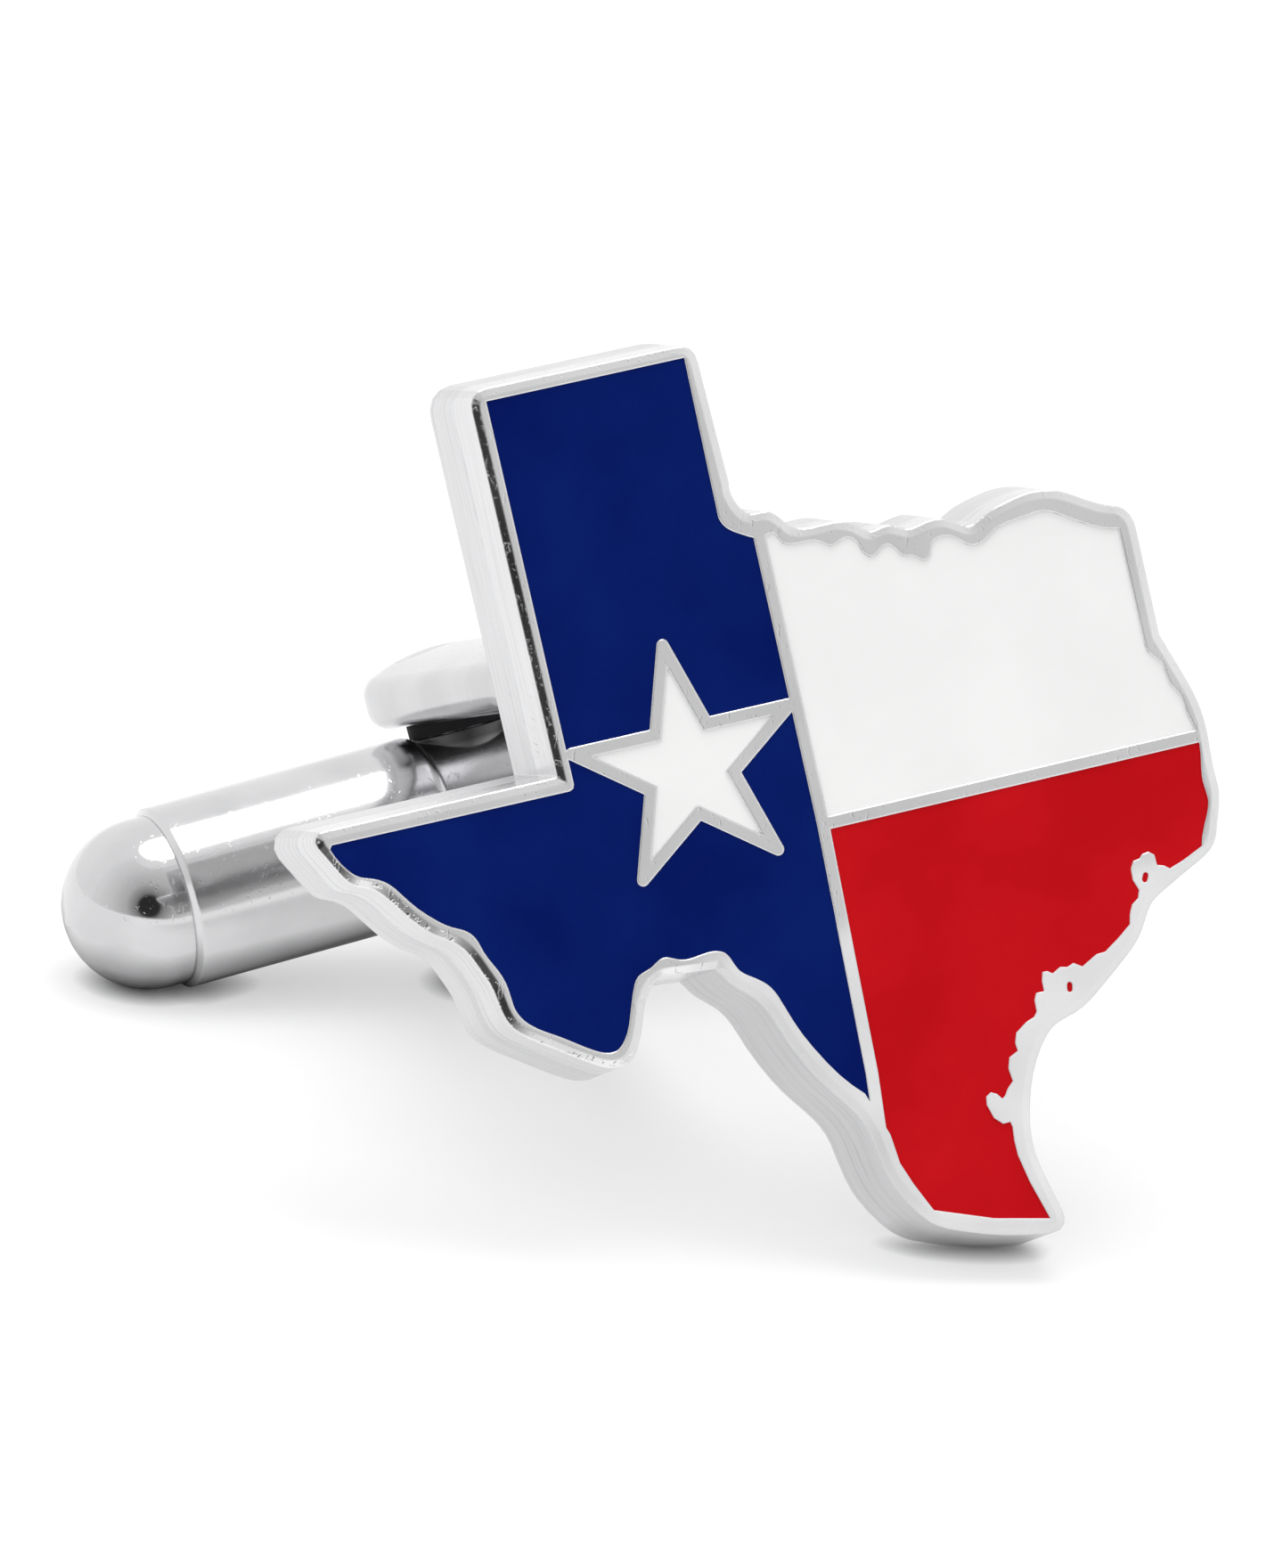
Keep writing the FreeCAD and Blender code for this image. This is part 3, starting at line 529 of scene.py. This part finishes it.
# %% Give every piece its finish
FINISHES = {
    "face_plate": PLATE_METAL,
    "swivel_fork": POST_METAL,
    "solder_ring": SOLDER,
    "pivot_pin": PIN_METAL,
    "pivot_washers": SHADED_WASHERS,
    "toggle_hub": HUB_METAL,
    "toggle_tube_left": BAR_METAL,
    "toggle_tube_right": BAR_METAL,
    "end_cap_left": CAP_METAL,
    "end_cap_right": CAP_METAL,
    "brake_plunger_left": BRASS,
    "brake_plunger_right": BRASS,
    "brake_spring_left": SPRING,
    "brake_spring_right": SPRING,
    "blue_enamel_upper": BLUE,
    "blue_enamel_lower": BLUE,
    "white_enamel_field": WHITE,
    "white_enamel_star": WHITE,
    "red_enamel_field": RED,
    "red_enamel_islets": RED,
}
for name, finish in FINISHES.items():
    NODES[name].data.materials.clear()
    NODES[name].data.materials.append(finish)
print("finished:", len(FINISHES), "of", len(NODES))

# %% [markdown]
# ## Table, light and camera
#
# The table is a wide, flat disc of pale grey. More light could make it white, but it would wash out
# the metal too. So a little light of its own, seen only by the camera and in reflections, lifts it
# to the paper white of a studio sweep. Where the cufflink touches the table that light fades, over
# about half a millimetre, so that the contact stays dark and the shadow is kept.

# %% Table
TABLE_RADIUS = 3.0
TABLE_RINGS = 8
TABLE_STEPS = 64


def make_table():
    """A flat disc on a grid of shares and turns: radius * share * (cos turn, sin turn)."""
    shares = np.linspace(0.0, 1.0, TABLE_RINGS + 1)
    turns = np.linspace(0.0, 2 * math.pi, TABLE_STEPS + 1)[:-1]
    share, turn = np.meshgrid(shares, turns, indexing="ij")
    points = np.stack([share * np.cos(turn), share * np.sin(turn), 0 * share], -1).reshape(-1, 3)
    ring, step = np.meshgrid(np.arange(TABLE_RINGS), np.arange(TABLE_STEPS), indexing="ij")
    first = ring * TABLE_STEPS + step
    beside = ring * TABLE_STEPS + (step + 1) % TABLE_STEPS
    faces = np.stack([first, first + TABLE_STEPS, beside + TABLE_STEPS, beside], -1).reshape(-1, 4)
    mesh = bpy.data.meshes.new("table")
    mesh.from_pydata((points * TABLE_RADIUS).tolist(), [], faces.tolist())
    table = bpy.data.objects.new("table", mesh)
    bpy.context.scene.collection.objects.link(table)
    return table


TABLE = make_table()
print("table:", len(TABLE.data.polygons), "faces, radius", TABLE_RADIUS, "m")

# %% [markdown]
# Light Path tells which ray sees a surface: here one from the camera, or one in a mirror or glass.
# Ambient Occlusion measures how open the sky is just above a point of the table.

# %% Table's finish
TABLE_TONES = [(0.3, 0.52), (0.7, 0.54)]
TABLE_GRAIN = 40.0
OWN_LIGHT = 0.46
CONTACT_REACH = 0.55 * MM
CONTACT_SAMPLES = 3
PLAIN_WHITE = (1.0, 1.0, 1.0, 1.0)


def seen_directly(tree):
    """1 for rays from the camera, and for rays in mirrors and glass."""
    path = add(tree, "ShaderNodeLightPath").outputs
    mirrored = larger(tree, path["Is Camera Ray"], path["Is Glossy Ray"])
    return larger(tree, mirrored, path["Is Transmission Ray"])


def make_table_material():
    """Pale matt grey; where it is seen directly, own light = open sky nearby * OWN_LIGHT."""
    material, tree, shader = new_material("table")
    grain = noise(tree, object_place(tree), TABLE_GRAIN, 3.0)
    open_sky = add(tree, "ShaderNodeAmbientOcclusion", {"Distance": CONTACT_REACH},
                   samples=CONTACT_SAMPLES).outputs["AO"]
    feed(tree, shader, {
        "Base Color": ramp(tree, grain, TABLE_TONES),
        "Roughness": 1.0,
        "Specular IOR Level": 0.0,
        "Emission Color": PLAIN_WHITE,
        "Emission Strength": times(tree, seen_directly(tree), times(tree, open_sky, OWN_LIGHT)),
    })
    return material


TABLE.data.materials.append(make_table_material())
print("table's finish:", TABLE.data.materials[0].name)

# %% [markdown]
# Polished metal shows what surrounds it, so the surroundings make its tone. A studio is white all
# round: the world is plain white where it is seen, by the camera or in the metal. As a light it is
# stronger from the left, which gives the soft shade on the right.

# %% World
WORLD_LIGHT = (0.62, 1.32)
LEFTWARD = (-1.0, 0.0, 0.0)


def make_world():
    """White where seen directly; as a light it grows with the -x part of the direction."""
    world = bpy.data.worlds.new("studio")
    bpy.context.scene.world = world
    world.use_nodes = True
    tree = world.node_tree
    tree.nodes.clear()
    direction = add(tree, "ShaderNodeTexCoord").outputs["Generated"]
    light = span(tree, part_along(tree, direction, LEFTWARD), -1.0, 1.0, *WORLD_LIGHT)
    links = {0: seen_directly(tree), 2: light, 3: 1.0}
    strength = add(tree, "ShaderNodeMix", links).outputs[0]
    sky = add(tree, "ShaderNodeBackground", {"Color": PLAIN_WHITE, "Strength": strength})
    add(tree, "ShaderNodeOutputWorld", {"Surface": sky.outputs[0]})
    return world


print("world:", make_world().name, "with light from", WORLD_LIGHT[0], "to", WORLD_LIGHT[1])

# %% [markdown]
# White alone would leave metal flat. Two pieces that only reflections see make it read as metal.
# The first is the dark strip of shade that lies under a real bar: a flat sheet just above the
# table, see-through towards its edges. A lamp's shadow could give it, but then the table would be
# dark as well.

# %% Bar shade, seen only in reflections
SHADE_TONE = (0.05, 0.05, 0.05, 1.0)
SHADE_STRENGTH = 0.85
SHADE_HEIGHT = 0.02 * MM
SHADE_RUNS = np.linspace(-14, 4, 19) * MM
SHADE_ASIDES = np.linspace(-4, 9, 14) * MM
RUN_IN, RUN_OUT = (-11.5 * MM, -8.5 * MM), (-2 * MM, 3 * MM)
ASIDE_IN, ASIDE_OUT = (-3 * MM, -0.5 * MM), (3 * MM, 8 * MM)


def only_in_reflections(thing):
    """Keeps a studio piece out of the picture, the light and the shadows; only mirrors show it."""
    thing.visible_camera = False
    thing.visible_diffuse = False
    thing.visible_shadow = False
    return thing


def make_sheet(name, points, material):
    """A mesh on a grid of points of shape (rows, columns, 3)."""
    rows, columns = points.shape[:2]
    row, column = np.meshgrid(np.arange(rows - 1), np.arange(columns - 1), indexing="ij")
    first = row * columns + column
    corners = [first, first + 1, first + columns + 1, first + columns]
    faces = np.stack(corners, -1).reshape(-1, 4)
    mesh = bpy.data.meshes.new(name)
    mesh.from_pydata(points.reshape(-1, 3).tolist(), [], faces.tolist())
    mesh.materials.append(material)
    sheet = bpy.data.objects.new(name, mesh)
    bpy.context.scene.collection.objects.link(sheet)
    return only_in_reflections(sheet)


def make_shade_material(along, behind, middle):
    """A dark strip with soft edges: alpha falls off along the bar and to either side of it."""
    material, tree, shader = new_material("bar shade")
    step = step_from(tree, object_place(tree), middle)
    run, aside = [part_along(tree, step, axis) for axis in (along, behind)]
    ends = times(tree, span(tree, run, *RUN_IN, 0.0, 1.0), span(tree, run, *RUN_OUT, 1.0, 0.0))
    sides = times(
        tree, span(tree, aside, *ASIDE_IN, 0.0, 1.0), span(tree, aside, *ASIDE_OUT, 1.0, 0.0))
    feed(tree, shader, {
        "Base Color": SHADE_TONE,
        "Specular IOR Level": 0.0,
        "Roughness": 1.0,
        "Alpha": times(tree, times(tree, ends, sides), SHADE_STRENGTH),
    })
    return material


def make_bar_shade():
    """A flat strip under the bar: place = middle + along * run + behind * aside."""
    along = Vector((BAR.x, BAR.y, 0.0)).normalized()
    behind = Vector((-along.y, along.x, 0.0))
    middle = Vector((PIN.x, PIN.y, SHADE_HEIGHT))
    run, aside = np.meshgrid(SHADE_RUNS, SHADE_ASIDES, indexing="ij")
    across = run[..., None] * np.array(along)
    points = np.array(middle) + across + aside[..., None] * np.array(behind)
    return make_sheet("bar_shade", points, make_shade_material(along, behind, middle))


print("bar shade:", len(make_bar_shade().data.polygons), "faces")

# %% [markdown]
# The second is a wall behind the camera, as in a real studio, where the camera stands in front of
# a dark place between white screens. It is a patch of a sphere that glows by itself, dark in the
# middle and lighter towards the sides and the top.

# %% Front wall, seen only in reflections
DARKEST = (-16.0, 16.0)
WALL_GLOW = [(0.3, 0.95), (0.62, 0.82), (0.85, 0.62), (0.95, 0.28), (0.972, 0.03)]
WALL_DISTANCE = 0.9
WALL_AROUND = np.linspace(-100, 100, 41)
WALL_ABOVE = np.linspace(-2, 68, 15)


def toward(around, above):
    """A unit direction at angles around (0 straight in front, + to the right) and above the table.

    direction = (sin around * cos above, -cos around * cos above, sin above)
    """
    turn, rise = np.radians(around), np.radians(above)
    return np.stack([np.sin(turn) * np.cos(rise), -np.cos(turn) * np.cos(rise), np.sin(rise)], -1)


def make_wall_material():
    """Glow = a ramp over the cosine of the angle from the darkest direction."""
    material, tree, shader = new_material("front wall")
    links = {0: object_place(tree)}
    ray = add(tree, "ShaderNodeVectorMath", links, operation="NORMALIZE").outputs[0]
    feed(tree, shader, {
        "Base Color": (0.0, 0.0, 0.0, 1.0),
        "Specular IOR Level": 0.0,
        "Emission Strength": 1.0,
        "Emission Color": ramp(tree, part_along(tree, ray, toward(*DARKEST)), WALL_GLOW),
    })
    return material


around, above = np.meshgrid(WALL_AROUND, WALL_ABOVE, indexing="ij")
front_wall = make_sheet("front_wall", toward(around, above) * WALL_DISTANCE, make_wall_material())
print("front wall:", len(front_wall.data.polygons), "faces")

# %% [markdown]
# A studio's big soft lamp hangs above and a little to the side. An area lamp would do, but a sun
# with a wide disc gives the same soft shadow wherever the cufflink lies.

# %% Lamp
SUN_TURN = (math.radians(-6.0), math.radians(5.0), 0.0)
SUN_ENERGY = 0.8
SUN_DISC = math.radians(35)
sun = bpy.data.lights.new("soft sun", "SUN")
sun.energy = SUN_ENERGY
sun.angle = SUN_DISC
lamp = bpy.data.objects.new("soft sun", sun)
lamp.rotation_euler = SUN_TURN
bpy.context.scene.collection.objects.link(lamp)
print("lamp:", lamp.name, "energy", round(sun.energy, 2))

# %% [markdown]
# A small object is pictured with a long lens from far off, so that its lines hardly converge. The
# camera's right and backward directions are given in the plate's own axes (right, depth, up), as
# they were fitted to the photo's star and rim, and turned into the frame here. The lens follows
# from the distance and from how many pixels a millimetre has at the star.

# %% Camera
IMAGE = (1440.0, 1760.0)
STAR_PIXEL = (773.61, 860.56)
PIXELS_PER_MM = 47.779
DISTANCE = 1000.0 * MM
SENSOR = 36.0
CAMERA_RIGHT = (0.92516, -0.31337, -0.2142)
CAMERA_BACK = (-0.31503, -0.94869, 0.02726)
CLIP_START = 0.01
CLIP_END = 20.0

right = from_plate(CAMERA_RIGHT).normalized()
back = from_plate(CAMERA_BACK).normalized()
up = back.cross(right).normalized()
right = up.cross(back).normalized()
star_aside = (STAR_PIXEL[0] - IMAGE[0] / 2) / PIXELS_PER_MM * MM
star_above = (IMAGE[1] / 2 - STAR_PIXEL[1]) / PIXELS_PER_MM * MM
eye = STAR_MIDDLE + back * DISTANCE - right * star_aside - up * star_above
camera = bpy.data.objects.new("camera", bpy.data.cameras.new("camera"))
camera.data.sensor_width = SENSOR
camera.data.lens = PIXELS_PER_MM / MM * DISTANCE / max(IMAGE) * SENSOR
camera.data.clip_start = CLIP_START
camera.data.clip_end = CLIP_END
camera.matrix_world = Matrix.Translation(eye) @ Matrix((right, up, back)).transposed().to_4x4()
bpy.context.scene.collection.objects.link(camera)
bpy.context.scene.camera = camera
print("camera at", eye, "lens", camera.data.lens)

# %% [markdown]
# Last, colours are shown as they are written.

# %% Finish
bpy.context.scene.view_settings.view_transform = "Standard"
